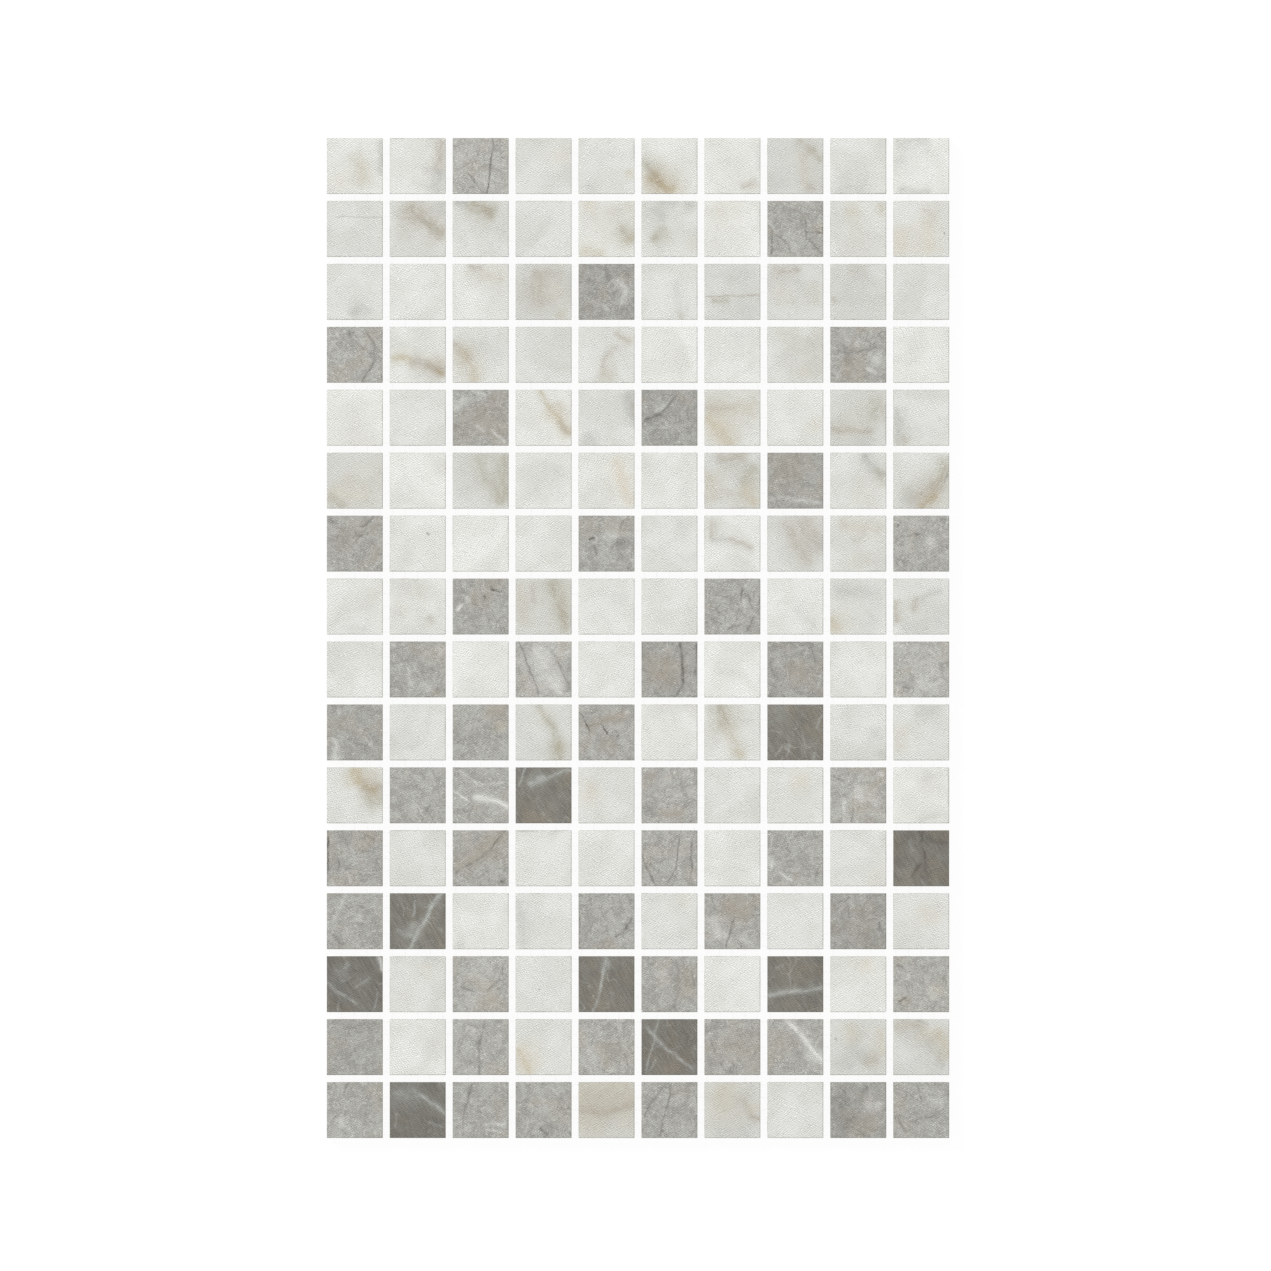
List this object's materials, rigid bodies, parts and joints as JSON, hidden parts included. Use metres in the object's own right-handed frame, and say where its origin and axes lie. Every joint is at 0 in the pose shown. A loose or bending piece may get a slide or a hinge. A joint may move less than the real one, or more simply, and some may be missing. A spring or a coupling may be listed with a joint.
{
  "type": "mosaic tile sheet",
  "caption": "Flat rectangular mosaic wall tile: square marble-effect ceramic chips in pale, grey and dark tones, held with open grout joints on a glass-fibre mesh back.",
  "frame": {"origin": "middle of the sheet, on the underside of the mesh", "axes": "+X across the columns, +Y along the rows towards the paler end, +Z out of the glazed face"},
  "size_m": [0.2492, 0.4004, 0.0084],
  "materials": {
    "pale_marble_glaze": "matte",
    "grey_marble_glaze": "matte",
    "dark_marble_glaze": "matte",
    "glass_fibre_yarn": "matte"
  },
  "bodies": {
    "root": {"pale_chips": "pale_marble_glaze", "grey_chips": "grey_marble_glaze", "dark_chips": "dark_marble_glaze", "weft_strands": "glass_fibre_yarn", "warp_strands": "glass_fibre_yarn"}
  },
  "joints": []
}
